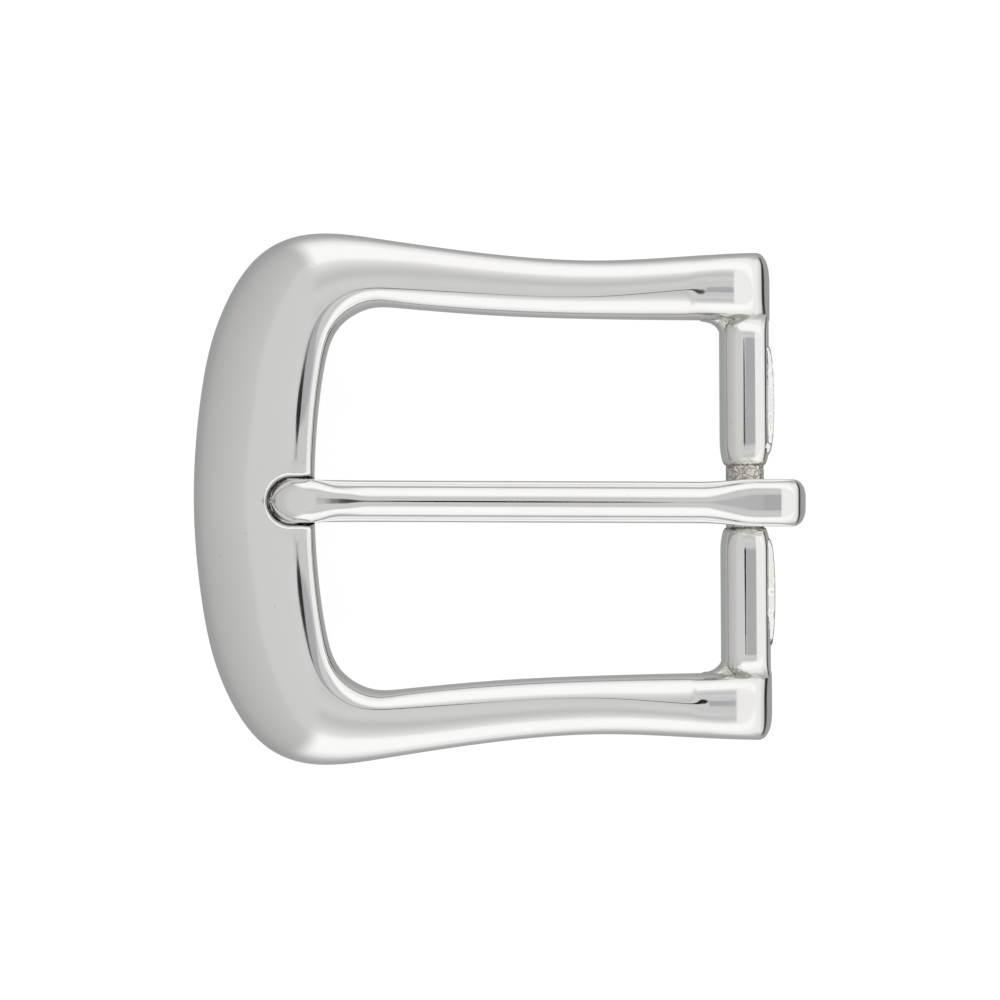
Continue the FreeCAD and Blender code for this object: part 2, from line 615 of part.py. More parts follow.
for geo in (lowSide, highSide):
    plan.addConstraint(Sketcher.Constraint("Block", geo))
trim = newFeature(prong, "PartDesign::Pocket", "prong_trim", plan)
trim.Type = 1
trim.Midplane = True
prongVolume = finishFeature(prong, trim, prongVolume, True)

# the front of the shank is crowned: a shallow arc across its width
crown = newSketch(prong, "prong_crown", "YZ_Plane")
drop = values["crown_drop"]
wide = values["crown_half"]
roof = top + 1.0
crownR = (halfShank ** 2 + drop ** 2) / (2 * drop)
edgeZ = top - crownR + math.sqrt(crownR ** 2 - wide ** 2)
span = math.asin(wide / crownR)
arc = crown.addGeometry(Part.ArcOfCircle(Part.Circle(
    point(0, top - crownR), upward, crownR),
    math.pi / 2 - span, math.pi / 2 + span), False)
left = lineTo(crown, point(-wide, edgeZ), point(-wide, roof))
lid = lineTo(crown, point(-wide, roof), point(wide, roof))
right = lineTo(crown, point(wide, roof), point(wide, edgeZ))
joinChain(crown, [arc, left, lid, right, arc])
index = crown.addConstraint(Sketcher.Constraint("Radius", arc, crownR))
crown.setExpression("Constraints[%d]" % index,
                    "((dims.prong_width / 2)^2 + dims.crown_drop^2) / (2 * dims.crown_drop)")
crown.addConstraint(Sketcher.Constraint("PointOnObject", arc, 3, -2))
place(crown, "DistanceX", left, 1, -wide, "-dims.crown_half")
place(crown, "DistanceX", right, 2, wide, "dims.crown_half")
crowning = newFeature(prong, "PartDesign::Pocket", "prong_crowning", crown)
crowning.Type = 1
crowning.Midplane = True
prongVolume = finishFeature(prong, crowning, prongVolume, True)

# the prong lies a little to one side on its neck, as a loose one does
prong.setExpression("Placement", (
    "placement(vector(0; dims.prong_offset; 0); rotation(dims.prong_skew; 0; 0))"))
doc.recompute()

# ---------------------------------------------------------------- write the nodes
os.makedirs("parts", exist_ok=True)
for thing in doc.Objects:
    if "Invalid" in thing.State or "Error" in thing.State:
        raise RuntimeError("%s is in state %s" % (thing.Name, thing.State))
for node in (frame, prong):
    shape = node.Shape
    if shape.isNull() or not shape.isValid() or len(shape.Solids) != 1:
        raise RuntimeError("node %s has no single valid solid" % node.Label)
    shape.exportStep("parts/" + node.Label + ".step")
    print(node.Label, round(shape.Volume, 1), shape.optimalBoundingBox(True, False))
overlap = frame.Shape.common(prong.Shape).Volume
print("overlap %.3f mm3, nearest gap %.3f mm" % (overlap, frame.Shape.distToShape(prong.Shape)[0]))
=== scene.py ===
import json
import math

import bmesh
import bpy
import numpy as np
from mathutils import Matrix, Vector, noise


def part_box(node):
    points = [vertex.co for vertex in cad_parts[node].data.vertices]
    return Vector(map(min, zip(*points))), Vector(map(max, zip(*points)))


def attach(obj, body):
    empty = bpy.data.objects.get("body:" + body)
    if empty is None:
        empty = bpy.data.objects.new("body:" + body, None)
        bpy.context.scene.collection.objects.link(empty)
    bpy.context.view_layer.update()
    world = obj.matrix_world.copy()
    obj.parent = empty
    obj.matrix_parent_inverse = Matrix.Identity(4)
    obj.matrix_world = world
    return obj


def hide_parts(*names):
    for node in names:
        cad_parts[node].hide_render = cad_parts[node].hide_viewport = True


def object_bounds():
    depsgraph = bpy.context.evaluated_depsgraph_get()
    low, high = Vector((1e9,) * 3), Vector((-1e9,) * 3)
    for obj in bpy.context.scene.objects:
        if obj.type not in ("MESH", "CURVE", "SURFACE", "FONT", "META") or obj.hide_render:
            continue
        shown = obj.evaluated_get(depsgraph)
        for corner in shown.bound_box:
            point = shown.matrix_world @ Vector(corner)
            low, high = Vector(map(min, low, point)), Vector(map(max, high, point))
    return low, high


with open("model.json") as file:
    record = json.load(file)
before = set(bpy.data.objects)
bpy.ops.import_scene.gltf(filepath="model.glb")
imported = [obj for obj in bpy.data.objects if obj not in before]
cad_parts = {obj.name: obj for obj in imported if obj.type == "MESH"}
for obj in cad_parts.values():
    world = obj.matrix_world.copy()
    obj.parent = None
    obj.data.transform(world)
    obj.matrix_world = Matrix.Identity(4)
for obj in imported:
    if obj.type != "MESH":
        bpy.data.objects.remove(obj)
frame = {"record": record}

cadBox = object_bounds()
mm = 0.001
prongLow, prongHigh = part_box("prong")
barMount = next(m for m in frame["record"]["mounts"] if m["name"] == "strap_bar")
print("frame loaded, box", [round(v, 4) for corner in cadBox for v in corner])

# The rail that makes the bow and both arms, from the middle of the bow to one arm's end.
# inner and outer edge (x, |y|), underside at both edges, height of both edges,
# where the crest lies across the width, height of the crest. All in mm from the bar's axis.
rail = {
    "stations": [
        ((-43.05, 0.0), (-55.32, 0.0), (0.3, -2.2), (2.3, -0.9), 0.18, 4.36),
        ((-42.75, 7.2), (-54.45, 11.0), (0.3, -2.2), (2.3, -0.9), 0.18, 4.66),
        ((-41.90, 13.5), (-52.28, 18.98), (0.2, -2.1), (2.2, -0.7), 0.19, 4.685),
        ((-40.25, 17.35), (-48.02, 24.9), (0.0, -1.9), (2.0, -0.3), 0.20, 4.57),
        ((-38.00, 18.80), (-43.75, 26.49), (-0.3, -1.5), (1.9, 0.6), 0.22, 4.4),
        ((-34.50, 19.00), (-36.68, 26.0), (-0.6, -1.0), (1.8, 1.4), 0.26, 4.15),
        ((-26.00, 18.28), (-26.60, 24.54), (-0.7, -0.8), (1.6, 1.5), 0.32, 3.75),
        ((-15.00, 17.82), (-15.00, 23.69), (-1.0, -1.0), (1.2, 1.1), 0.36, 3.35),
        ((-5.00, 17.65), (-5.00, 24.10), (-1.9, -1.9), (0.9, 0.9), 0.46, 3.55),
        ((2.65, 17.60), (2.65, 24.50), (-2.5, -2.5), (0.9, 0.9), 0.48, 3.8),
    ],
    # at the same stations: how full the outer slope, the outer edge, the inner slope and the
    # inner edge are, and how far the crest's two sides already lean where they meet
    "fullness": [
        (0.50, 0.35, 0.85, 0.72, 0.00, 0.00),
        (0.50, 0.35, 0.85, 0.72, 0.00, 0.00),
        (0.52, 0.35, 0.82, 0.68, 0.00, 0.00),
        (0.60, 0.40, 0.70, 0.50, 0.01, 0.05),
        (0.74, 0.48, 0.60, 0.40, 0.03, 0.14),
        (0.82, 0.54, 0.68, 0.52, 0.06, 0.26),
        (0.82, 0.54, 0.68, 0.52, 0.06, 0.26),
        (0.82, 0.54, 0.68, 0.52, 0.06, 0.26),
        (0.83, 0.60, 0.74, 0.58, 0.05, 0.20),
        (0.86, 0.72, 0.86, 0.72, 0.05, 0.20),
    ],
    "edgeRound": (1.2, 1.3),
    "crestFades": (-5.9, -4.7),  # the crest's edge runs out into a flat top between these
    # distances between rings, and how far from the bow's middle or from the arm's end they go
    "besideNotch": (0.2, 6),
    "atWall": (0.05, 0.15, 0.1),  # and how far before and past the notch's wall
    "alongArm": 0.6,
    "roundEnd": (0.3, 9),
    "atFace": (0.06, 1.2),
    "across": (10, 14, 84, 44, 12),  # faces: underside, outer round, outer slope, inner slope, inner round
    "endFrom": -4.15,  # where both arms start to round down to their ends
    "endRadius": 7.35,
    "endCorner": (1.4, 2.4),  # the outer corner's rounding, along the arm and across it
}

# The rest notch in the bow's crest
notch = {
    "end": -47.6,
    "half": 2.25,
    "middle": -0.17,
    "floor": 2.05,
    "roll": 0.42,
    "dip": 0.1,
    "dipReach": 1.9,
    "dipFade": 1.5,
    "drawOutside": 1.3,  # points this near the wall are drawn together along it
    "drawInside": 0.6,
    "drawPower": 1.8,
    "drawFrom": -44.2,
    "drawFull": -45.0,
    "cutTo": -38,
}


def naturalSpline(knots, values):
    # smooth curve through the values, straight at both ends
    knots = np.asarray(knots, float)
    values = np.asarray(values, float)
    count = len(knots)
    gaps = np.diff(knots)
    matrix = np.zeros((count, count))
    right = np.zeros(count)
    matrix[0, 0] = matrix[-1, -1] = 1
    for i in range(1, count - 1):
        matrix[i, i - 1] = gaps[i - 1]
        matrix[i, i] = 2 * (gaps[i - 1] + gaps[i])
        matrix[i, i + 1] = gaps[i]
        right[i] = 6 * ((values[i + 1] - values[i]) / gaps[i] - (values[i] - values[i - 1]) / gaps[i - 1])
    bend = np.linalg.solve(matrix, right)

    def at(where):
        where = np.asarray(where, float)
        i = np.clip(np.searchsorted(knots, where) - 1, 0, count - 2)
        gap = gaps[i]
        a = (knots[i + 1] - where) / gap
        b = (where - knots[i]) / gap
        return (a * values[i] + b * values[i + 1]
                + ((a ** 3 - a) * bend[i] + (b ** 3 - b) * bend[i + 1]) * gap ** 2 / 6)
    return at


def bezier(points, steps):
    # points: list of (N, 2) arrays; returns (N, steps, 2), the last point left out
    share = np.linspace(0, 1, steps, endpoint=False)[None, :, None]
    points = [p[:, None, :] for p in points]
    while len(points) > 1:
        points = [a + (b - a) * share for a, b in zip(points, points[1:])]
    return points[0] + 0 * share


def gridPiece(name, rows, closedRows, capStart=True, capEnd=True):
    # rows: (N, M, 3) in mm. Each row is a closed ring when closedRows is true.
    count, around = rows.shape[:2]
    mesh = bpy.data.meshes.new(name)
    bm = bmesh.new()
    verts = [[bm.verts.new(Vector(p) * mm) for p in row] for row in rows.tolist()]
    last = around if closedRows else around - 1
    for i in range(count - 1):
        for j in range(last):
            k = (j + 1) % around
            face = bm.faces.new((verts[i][j], verts[i][k], verts[i + 1][k], verts[i + 1][j]))
            face.smooth = True
    for wanted, ring in ((capStart, verts[0]), (capEnd, verts[-1])):
        if wanted and closedRows:
            bm.faces.new(ring)
            for j in range(around):
                bm.edges.get((ring[j], ring[(j + 1) % around])).smooth = False
    bmesh.ops.recalc_face_normals(bm, faces=bm.faces)
    bm.to_mesh(mesh)
    bm.free()
    piece = bpy.data.objects.new(name, mesh)
    bpy.context.collection.objects.link(piece)
    return piece


def railRows():
    half = [s[0] + s[1] + s[2] + s[3] + s[4:] + f for s, f in zip(rail["stations"], rail["fullness"])]
    mirror = np.array([1, -1, 1, -1] + [1] * 12)
    columns = np.array(half[::-1] + [s * mirror for s in np.array(half[1:])])
    middle = (columns[:, 0:2] + columns[:, 2:4]) / 2
    along = np.concatenate([[0], np.cumsum(np.linalg.norm(np.diff(middle, axis=0), axis=1))])
    centre = along[len(half) - 1]
    # denser rings beside the notch and at the arms' ends
    notchStep, notchReach = rail["besideNotch"]
    wallStep, before, beyond = rail["atWall"]
    endStep, endReach = rail["roundEnd"]
    faceStep, faceReach = rail["atFace"]
    spacing = [(notch["half"] - before, notchStep), (notch["half"] + notch["roll"] + beyond, wallStep),
               (notchReach, notchStep), (centre - endReach, rail["alongArm"]),
               (centre - faceReach, endStep), (centre, faceStep)]
    steps = [0.0]
    while steps[-1] < centre:
        steps.append(steps[-1] + next(step for end, step in spacing if steps[-1] < end))
    steps[-1] = centre
    where = np.concatenate([centre - np.array(steps[::-1]), centre + np.array(steps[1:])])
    c = [naturalSpline(along, columns[:, k])(where) for k in range(columns.shape[1])]
    inner = np.stack(c[0:2], 1)
    outer = np.stack(c[2:4], 1)
    width = np.linalg.norm(outer - inner, axis=1)
    toward = (outer - inner) / width[:, None]
    underIn, underOut, lipIn, lipOut, share, crest = c[4:10]
    fullOut, edgeOut, fullIn, edgeIn, leanOut, leanIn = c[10:]
    flat = smooth((inner[:, 0] + outer[:, 0]) / 2, *rail["crestFades"])
    leanOut = leanOut * (1 - flat)
    leanIn = leanIn * (1 - flat)
    roundIn, roundOut = rail["edgeRound"]
    zero = width * 0

    def pair(u, v):
        return np.stack([u, v], 1)

    peak = share * width
    top = pair(peak, crest)
    innerFoot = pair(zero + roundIn, underIn)
    outerFoot = pair(width - roundOut, underOut)
    outerLip = pair(width, lipOut)
    innerLip = pair(zero, lipIn)
    outArm = fullOut * (width - peak)
    inArm = fullIn * peak
    n = rail["across"]
    outline = np.concatenate([
        bezier([innerFoot, outerFoot], n[0]),
        bezier([outerFoot, pair(width, underOut), outerLip], n[1]),
        bezier([outerLip, pair(width, lipOut + edgeOut * (crest - lipOut)),
                pair(peak + outArm, crest - leanOut * outArm), top], n[2]),
        bezier([top, pair(peak - inArm, crest - leanIn * inArm),
                pair(zero, lipIn + edgeIn * (crest - lipIn)), innerLip], n[3]),
        bezier([innerLip, pair(zero, underIn), innerFoot], n[4]),
    ], axis=1)
    u = outline[:, :, 0]
    z = outline[:, :, 1]
    x = inner[:, None, 0] + toward[:, None, 0] * u
    y = inner[:, None, 1] + toward[:, None, 1] * u
    onTop = np.zeros(u.shape, bool)
    onTop[:, n[0] + n[1]:n[0] + n[1] + n[2] + n[3]] = True
    share = (z - underIn[:, None]) / (crest - underIn)[:, None]
    return x, y, z, onTop, np.clip(share, 0, 1)


def smooth(value, low, high):
    s = np.clip((value - low) / (high - low), 0, 1)
    return s * s * (3 - 2 * s)


def fromNotch(x, y):
    # distance from the notch's wall, and the direction away from its middle line
    start = notch["end"] + notch["half"]
    dx = np.minimum(x - start, 0)
    dy = y - notch["middle"]
    reach = np.maximum(np.hypot(dx, dy), 1e-6)
    return reach - notch["half"], dx / reach, dy / reach


def cutNotch(x, y, z, onTop):
    # first draw the points together along the wall's curve, following the surface they lie on
    xi, xj = np.gradient(x)
    yi, yj = np.gradient(y)
    zi, zj = np.gradient(z)
    area = xi * yj - xj * yi
    area = np.where(np.abs(area) < 1e-9, 1e-9, area)
    slopeX = (zi * yj - zj * yi) / area
    slopeY = (xi * zj - xj * zi) / area
    away, wayX, wayY = fromNotch(x, y)
    near = onTop & (x < notch["drawFrom"])
    outside, inside, power = notch["drawOutside"], notch["drawInside"], notch["drawPower"]
    drawn = np.where(away > 0, outside * np.abs(away / outside) ** power,
                     -inside * np.abs(away / inside) ** power)
    shift = np.where(near & (away < outside) & (away > -inside), drawn - away, 0)
    shift = shift * smooth(-x, -notch["drawFrom"], -notch["drawFull"])
    x = x + shift * wayX
    y = y + shift * wayY
    z = z + shift * (slopeX * wayX + slopeY * wayY)
    # then sink them: a flat floor, an upright wall, a rolled edge and a soft dip around it
    away = fromNotch(x, y)[0]
    dip = notch["dip"] * np.clip(1 - np.maximum(away, 0) / notch["dipReach"], 0, 1) ** 2
    dip = dip * smooth(z, notch["floor"], notch["floor"] + notch["dipFade"])
    share = np.clip(away / notch["roll"], 0, 1)
    roll = np.sqrt(np.clip(1 - (1 - share) ** 2, 0, 1))
    cut = notch["floor"] + (z - dip - notch["floor"]) * roll
    return x, y, np.where(onTop & (x < notch["cutTo"]) & (z > notch["floor"]), cut, z)


def finishArmEnds(x, y, z, share):
    # both arms round down to their ends, which have two rounded outer corners
    face = rail["stations"][-1][0][0]
    radius = rail["endRadius"]
    run = np.clip(x - rail["endFrom"], 0, None)
    z = z - share * (radius - np.sqrt(radius ** 2 - run ** 2))
    along, across = rail["endCorner"]
    side = np.sign(y)
    span = np.abs(y)
    innerY = rail["stations"][-1][0][1]
    outerY = rail["stations"][-1][1][1]
    middle = (outerY + innerY) / 2
    past = np.clip((x - face) / along + 1, 0, 1)
    reach = outerY - across + across * np.sqrt(1 - past ** 2)
    squeeze = (reach - middle) / (outerY - middle)
    span = np.where(span > middle, middle + (span - middle) * squeeze, span)
    return x, side * span, z


def makeRail():
    x, y, z, onTop, share = railRows()
    x, y, z = cutNotch(x, y, z, onTop)
    x, y, z = finishArmEnds(x, y, z, share)
    piece = gridPiece("bowAndArms", np.stack([x, y, z], 2), True)
    print("bow and arms:", len(piece.data.polygons), "faces")
    return piece


# The strap bar: two thick halves that round down to the neck in the middle
bar = {
    "radius": barMount["dims"]["r_mm"],
    "neckRadius": 1.9,
    "neckHalf": 3.1,
    "shoulderEnd": 5.6,
    "halfLength": 18.2,
    "rings": 420,
    "around": 96,
    "padHeight": 0.5,
    "padFrom": 4.2,
    "padTo": 15.0,
    "padEdge": (0.925, 0.955),  # how squarely its side must face past the bar to carry the pad
    "ragged": 0.24,
    "raggedScale": 1100.0,
    "raggedStretch": (1.0, 0.4, 1.0),
    "castDepth": 0.07,
    "castScale": 1300.0,
    "castFade": (0.1, 0.9),
    "endFrom": 15.8,
    "endReach": 2.6,
    "endLimit": 0.96,
    "seed": 4,
}


def newTree(name, inputs):
    tree = bpy.data.node_groups.new(name, "GeometryNodeTree")
    tree.is_modifier = True
    tree.interface.new_socket("Geometry", in_out="INPUT", socket_type="NodeSocketGeometry")
    for label, kind, value in inputs:
        socket = tree.interface.new_socket(label, in_out="INPUT", socket_type=kind)
        if value is not None:
            socket.default_value = value
    tree.interface.new_socket("Geometry", in_out="OUTPUT", socket_type="NodeSocketGeometry")
    return tree


def node(tree, kind, inputs=None, **settings):
    made = tree.nodes.new(kind)
    for key, value in settings.items():
        setattr(made, key, value)
    for key, value in (inputs or {}).items():
        if isinstance(value, bpy.types.NodeSocket):
            tree.links.new(value, made.inputs[key])
        else:
            made.inputs[key].default_value = value
    return made


def math1(tree, operation, a, b=0.5, c=0.0, clamp=False):
    made = node(tree, "ShaderNodeMath", {0: a, 1: b, 2: c}, operation=operation, use_clamp=clamp)
    return made.outputs[0]


def ramp(tree, value, low, high, outLow=0.0, outHigh=1.0):
    made = node(tree, "ShaderNodeMapRange",
                {"Value": value, "From Min": low, "From Max": high, "To Min": outLow, "To Max": outHigh},
                interpolation_type="SMOOTHSTEP")
    return made.outputs["Result"]


def barTree():
    tree = newTree("turnedStrapBar", [
        ("Half length", "NodeSocketFloat", bar["halfLength"] * mm),
        ("Bar radius", "NodeSocketFloat", bar["radius"] * mm),
        ("Neck radius", "NodeSocketFloat", bar["neckRadius"] * mm),
        ("Neck half", "NodeSocketFloat", bar["neckHalf"] * mm),
        ("Shoulder end", "NodeSocketFloat", bar["shoulderEnd"] * mm),
        ("Pad height", "NodeSocketFloat", bar["padHeight"] * mm),
        ("Cast depth", "NodeSocketFloat", bar["castDepth"] * mm),
        ("End from", "NodeSocketFloat", bar["endFrom"] * mm),
        ("End reach", "NodeSocketFloat", bar["endReach"] * mm),
        ("Seed", "NodeSocketFloat", float(bar["seed"])),
        ("Material", "NodeSocketMaterial", None),
    ])
    given = node(tree, "NodeGroupInput").outputs
    backward = math1(tree, "MULTIPLY", given["Half length"], -1.0)
    start = node(tree, "ShaderNodeCombineXYZ", {"Y": backward}).outputs[0]
    end = node(tree, "ShaderNodeCombineXYZ", {"Y": given["Half length"]}).outputs[0]
    line = node(tree, "GeometryNodeCurvePrimitiveLine", {"Start": start, "End": end})
    rings = node(tree, "GeometryNodeResampleCurve", {"Curve": line.outputs[0], "Count": bar["rings"]})
    place = node(tree, "GeometryNodeInputPosition").outputs[0]
    y = node(tree, "ShaderNodeSeparateXYZ", {0: place}).outputs["Y"]
    span = math1(tree, "ABSOLUTE", y)
    # the shoulder is a quarter of an ellipse between neck and bar
    run = math1(tree, "SUBTRACT", given["Shoulder end"], span)
    length = math1(tree, "SUBTRACT", given["Shoulder end"], given["Neck half"])
    share = math1(tree, "DIVIDE", run, length, clamp=True)
    drop = math1(tree, "SUBTRACT", 1.0, math1(tree, "SQRT", math1(
        tree, "SUBTRACT", 1.0, math1(tree, "POWER", share, 2.0))))
    inNeck = math1(tree, "LESS_THAN", span, given["Neck half"])
    drop = math1(tree, "MAXIMUM", drop, inNeck)
    fall = math1(tree, "MULTIPLY", drop, math1(tree, "SUBTRACT", given["Bar radius"], given["Neck radius"]))
    radius = math1(tree, "SUBTRACT", given["Bar radius"], fall)
    sized = node(tree, "GeometryNodeSetCurveRadius", {"Curve": rings.outputs[0], "Radius": radius})
    ring = node(tree, "GeometryNodeCurvePrimitiveCircle", {"Resolution": bar["around"], "Radius": 1.0})
    tube = node(tree, "GeometryNodeCurveToMesh",
                {"Curve": sized.outputs[0], "Profile Curve": ring.outputs[0], "Fill Caps": True,
                 "Scale": radius})
    # gate pads: the outer side of each half stands proud, with a ragged ground edge
    normal = node(tree, "GeometryNodeInputNormal").outputs[0]
    face = node(tree, "ShaderNodeSeparateXYZ", {0: normal}).outputs["X"]
    drawnOut = node(tree, "ShaderNodeVectorMath", {0: place, 1: bar["raggedStretch"]},
                    operation="MULTIPLY").outputs[0]
    ragged = node(tree, "ShaderNodeTexNoise",
                  {"Vector": drawnOut, "W": given["Seed"], "Scale": bar["raggedScale"], "Detail": 2.0},
                  noise_dimensions="4D").outputs[0]
    edge = math1(tree, "MULTIPLY_ADD", math1(tree, "SUBTRACT", ragged, 0.5), bar["ragged"], face)
    onSide = ramp(tree, edge, *bar["padEdge"])
    middle = (bar["padFrom"] + bar["padTo"]) / 2 * mm
    halfPad = (bar["padTo"] - bar["padFrom"]) / 2 * mm
    offset = math1(tree, "DIVIDE", math1(tree, "SUBTRACT", span, middle), halfPad)
    crescent = math1(tree, "SUBTRACT", 1.0, math1(tree, "POWER", offset, 2.0), clamp=True)
    crescent = math1(tree, "SQRT", crescent)
    pad = math1(tree, "MULTIPLY", math1(tree, "MULTIPLY", onSide, crescent), given["Pad height"])
    # the neck was never polished: rough cast skin
    coarse = node(tree, "ShaderNodeTexNoise",
                  {"Vector": place, "W": given["Seed"], "Scale": bar["castScale"],
                   "Detail": 5.0, "Roughness": 0.65},
                  noise_dimensions="4D").outputs[0]
    fadeFrom, fadeTo = bar["castFade"]
    neckMask = ramp(tree, span, (bar["neckHalf"] + fadeFrom) * mm,
                    (bar["neckHalf"] + fadeTo) * mm, 1.0, 0.0)
    bump = math1(tree, "MULTIPLY", math1(tree, "SUBTRACT", coarse, 0.5), 2.0)
    bump = math1(tree, "MULTIPLY", math1(tree, "MULTIPLY", bump, neckMask), given["Cast depth"])
    out = math1(tree, "ADD", pad, bump)
    move = node(tree, "ShaderNodeVectorMath", {0: normal, "Scale": out}, operation="SCALE").outputs[0]
    # both ends round down into the arms
    past = math1(tree, "MAXIMUM", math1(tree, "SUBTRACT", span, given["End from"]), 0.0)
    past = math1(tree, "MINIMUM", math1(tree, "DIVIDE", past, given["End reach"]), bar["endLimit"])
    flat = math1(tree, "SUBTRACT", 1.0, math1(tree, "SQRT", math1(
        tree, "SUBTRACT", 1.0, math1(tree, "POWER", past, 2.0))))
    height = node(tree, "ShaderNodeSeparateXYZ", {0: place}).outputs["Z"]
    sink = node(tree, "ShaderNodeCombineXYZ", {"Z": math1(tree, "MULTIPLY", math1(
        tree, "MULTIPLY", height, flat), -1.0)}).outputs[0]
    move = node(tree, "ShaderNodeVectorMath", {0: move, 1: sink}, operation="ADD").outputs[0]
    moved = node(tree, "GeometryNodeSetPosition", {"Geometry": tube.outputs[0], "Offset": move})
    shaded = node(tree, "GeometryNodeSetShadeSmooth", {"Geometry": moved.outputs[0]})
    real = node(tree, "GeometryNodeRealizeInstances", {"Geometry": shaded.outputs[0]})
    coated = node(tree, "GeometryNodeSetMaterial",
                  {"Geometry": real.outputs[0], "Material": given["Material"]})
    tree.links.new(coated.outputs[0], node(tree, "NodeGroupOutput").inputs[0])
    return tree


def fromTree(name, tree, values):
    # run a node tree on an empty mesh and keep what it makes as a plain mesh
    maker = bpy.data.objects.new(name + "Maker", bpy.data.meshes.new(name + "Maker"))
    bpy.context.collection.objects.link(maker)
    modifier = maker.modifiers.new("build", "NODES")
    modifier.node_group = tree
    for item in tree.interface.items_tree:
        if item.in_out == "INPUT" and item.name in values:
            modifier[item.identifier] = values[item.name]
    bpy.context.view_layer.update()
    evaluated = maker.evaluated_get(bpy.context.evaluated_depsgraph_get())
    mesh = bpy.data.meshes.new_from_object(evaluated)
    mesh.name = name
    piece = bpy.data.objects.new(name, mesh)
    bpy.context.collection.objects.link(piece)
    bpy.data.objects.remove(maker)
    return piece


# The prong: half-round shank with a narrow ledge each side, oval eye, drooping tip
tipInset = 0.0376
prong = {
    "top": prongHigh.z / mm,
    "thickness": 2.2,
    "halfWidth": 2.07,
    "tipHalf": 2.17,
    "eyeHalf": 2.36,
    "tip": prongLow.x / mm + tipInset,
    "tipLength": 2.7,
    "tipPower": 2.3,
    "tipEnd": 0.005,  # how wide the very end stays, as a share
    "tipCrown": 0.5,
    "tipLedge": 0.12,
    "droopLength": 4.6,
    "droop": 1.3,
    "droopPower": 2.2,
    "eyeSlack": 1.75,
    "eyeCorner": 1.2,
    "endFlat": 0.7,  # how much of the crown is gone where the eye turns down
    "blend": (-4.5, 1.0),  # the shank widens into the eye between these
    "broadRun": 9,
    "flatFrom": -37.6,
    "flatRun": 3.2,
    "ledgeFrom": -40.4,
    "crown": 0.6,
    "squareness": (2.0, 2.6, 1.6),  # power of the crown's curve, and what the eye and the tip add
    "ledge": 0.6,
    "crease": 0.22,
    "eyeLoss": (0.2, 0.55, 0.7),  # how much of crown, ledge and crease the eye goes without
    "tipLoss": 0.95,
    "offset": -0.62,
    "skew": -0.58,
    "spacing": ((0.8, 0.05), (6, 0.16)),  # how far from the tip, and the distance between rings
    "shankSpacing": 0.4,
    "eyeSpacing": 0.2,
    "endRings": 60,
    "hookRings": 40,
    "hookTurn": 128,  # how far the eye's end comes back round the neck
}


def prongPath():
    # middle line of the strip in side view, from the tip round the eye: x, z, direction
    centre = prong["top"] - prong["thickness"] / 2
    slack = prong["eyeSlack"]
    spacing = [(prong["tip"] + reach, step) for reach, step in prong["spacing"]]
    spacing += [(prong["blend"][0], prong["shankSpacing"]), (slack, prong["eyeSpacing"])]
    points = []
    x = prong["tip"]
    while x < slack:
        points.append((x, centre, 0.0))
        x += next(step for end, step in spacing if x < end)
    for ring in range(prong["endRings"] + 1):
        angle = math.pi / 2 - math.pi * ring / prong["endRings"]
        points.append((slack + centre * math.cos(angle), centre * math.sin(angle), math.pi / 2 - angle))
    points.append((slack / 2, -centre, math.pi))
    for ring in range(prong["hookRings"] + 1):
        angle = -math.pi / 2 - math.radians(prong["hookTurn"]) * ring / prong["hookRings"]
        points.append((centre * math.cos(angle), centre * math.sin(angle), math.pi / 2 - angle))
    return points


# Across the prong: the roundings' sizes and how many faces each stretch has
section = {
    "leastSide": 0.3,
    "underRound": 0.3,
    "underShare": 0.4,  # at most this share of the half width
    "rimRound": 0.42,
    "rimShare": (0.7, 0.3),  # at most these shares of the ledge and of the half width
    "ledgeSlope": 0.25,
    "creaseFrom": 0.92,  # the crown's outer share that sinks into the crease
    "closer": 0.8,  # below one, the crown's faces crowd towards the ledges
    "underFaces": 6,
    "sideFaces": 3,
    "rimFaces": 8,
    "ledgeFaces": 5,
    "crownFaces": 72,
}


def prongSection(half, crown, power, ledge, crease, thick):
    # closed section as (y, outward): underside corner, side, ledge, crown, and back down
    floor = -thick / 2
    crownHalf = half - ledge
    edge = max(thick / 2 - crown, floor + section["leastSide"])
    soft = min(section["underRound"], half * section["underShare"])
    shoulder = edge - crease - ledge * section["ledgeSlope"]
    rim = min(section["rimRound"], ledge * section["rimShare"][0], half * section["rimShare"][1])
    side = []
    for step in range(section["underFaces"] + 1):
        a = -math.pi / 2 + math.pi / 2 * step / section["underFaces"]
        side.append((half - soft + soft * math.cos(a), floor + soft + soft * math.sin(a)))
    for step in range(1, section["sideFaces"] + 1):
        side.append((half, floor + soft + (shoulder - rim - floor - soft) * step / section["sideFaces"]))
    for step in range(1, section["rimFaces"] + 1):
        a = math.pi / 2 * step / section["rimFaces"]
        side.append((half - rim * (1 - math.cos(a)), shoulder - rim + rim * math.sin(a)))
    for step in range(1, section["ledgeFaces"]):
        s = step / section["ledgeFaces"]
        side.append((half - rim - (ledge - rim) * s, shoulder + (edge - crease - shoulder) * s))
    over = []
    for step in range(section["crownFaces"] + 1):
        s = 1 - 2 * step / section["crownFaces"]
        s = math.copysign(abs(s) ** section["closer"], s)
        drop = crease * max(0.0, (abs(s) - section["creaseFrom"]) / (1 - section["creaseFrom"])) ** 2
        over.append((crownHalf * s, edge + (thick / 2 - edge) * (1 - abs(s) ** power) - drop))
    return side + over + [(-y, w) for y, w in reversed(side)]


